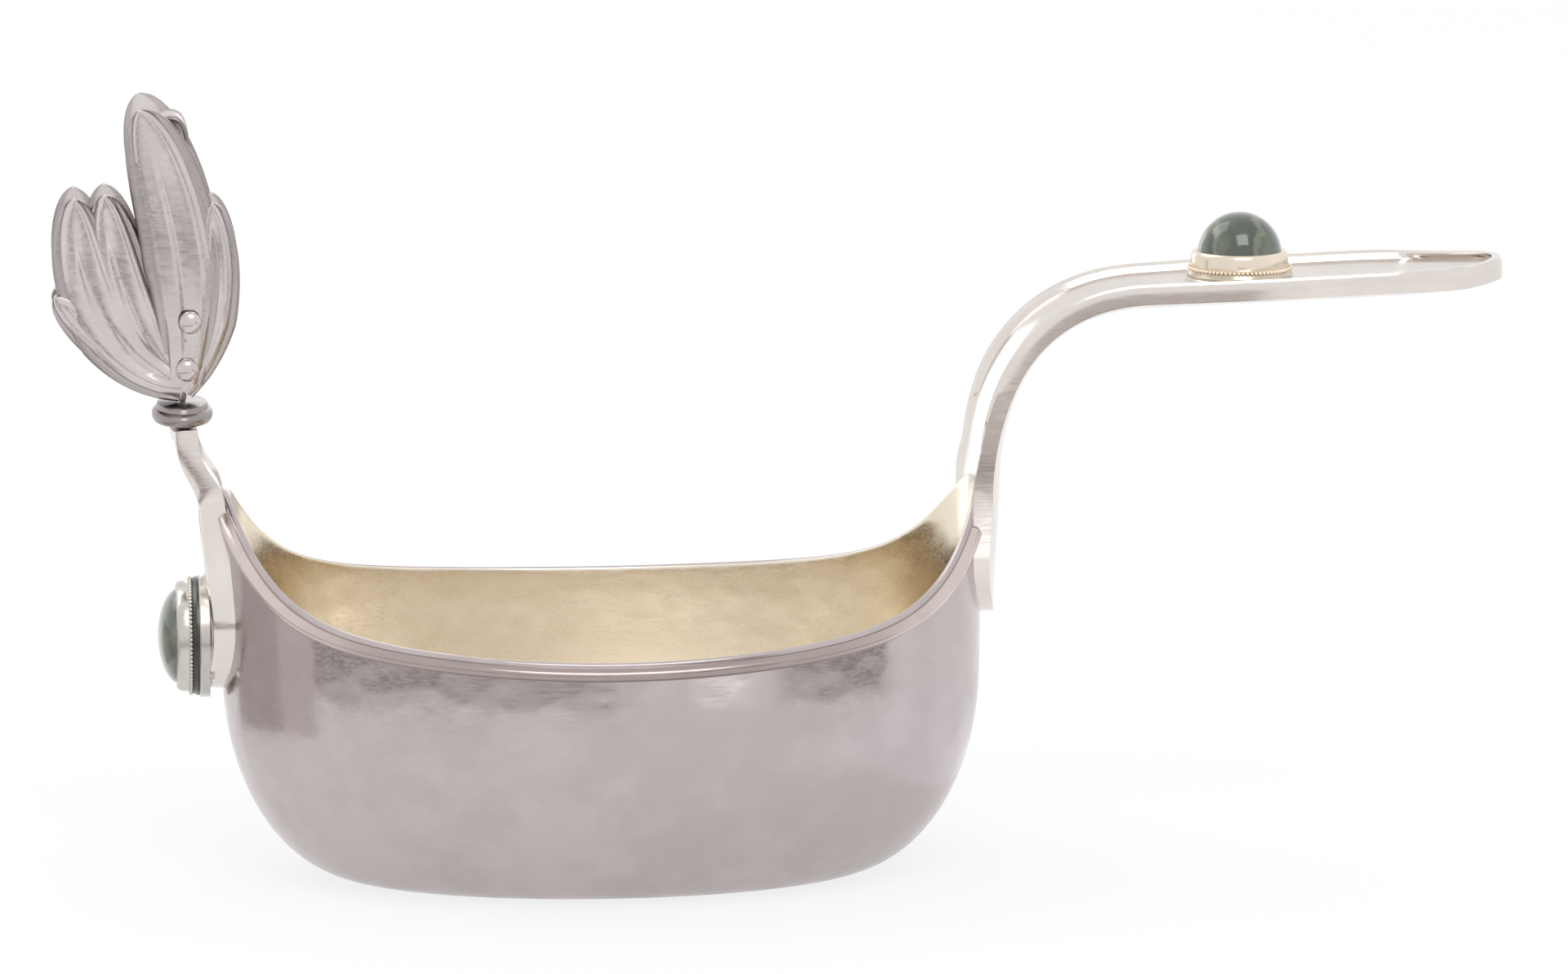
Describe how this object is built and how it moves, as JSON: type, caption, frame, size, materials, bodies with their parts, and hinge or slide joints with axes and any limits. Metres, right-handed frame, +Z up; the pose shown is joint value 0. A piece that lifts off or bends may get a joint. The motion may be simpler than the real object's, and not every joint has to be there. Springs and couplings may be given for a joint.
{
  "type": "kovsh",
  "caption": "Boat-shaped silver drinking bowl with gilt inside, strap handle set with a domed stone, and a raised prow carrying a stone and a leaf finial.",
  "frame": {"origin": "centre of the bowl's flat underside, on the surface it stands on", "axes": "+X along the kovsh from the prow to the handle, +Z up, +Y across the bowl"},
  "size_m": [0.1778, 0.0666, 0.0959],
  "materials": {
    "bowl_silver": "polished, softly planished",
    "strap_silver": "polished",
    "gilt_silver": "polished gilding",
    "dark_silver": "cast, darkened in the hollows",
    "green_stone": "polished cabochon"
  },
  "bodies": {
    "root": {"bowl": "bowl_silver", "rim_wire_near": "strap_silver", "rim_wire_far": "strap_silver", "handle_strap": "strap_silver", "prow_strap": "strap_silver", "handle_setting_plate": "gilt_silver", "handle_bezel": "gilt_silver", "handle_stone": "green_stone", "prow_setting_plate": "strap_silver", "prow_bezel": "strap_silver", "prow_stone": "green_stone", "finial_collar": "dark_silver", "finial_leaf": "dark_silver", "palmette_near": "dark_silver", "palmette_far": "dark_silver", "finial_rivet_1": "dark_silver", "finial_rivet_2": "dark_silver"}
  },
  "joints": []
}
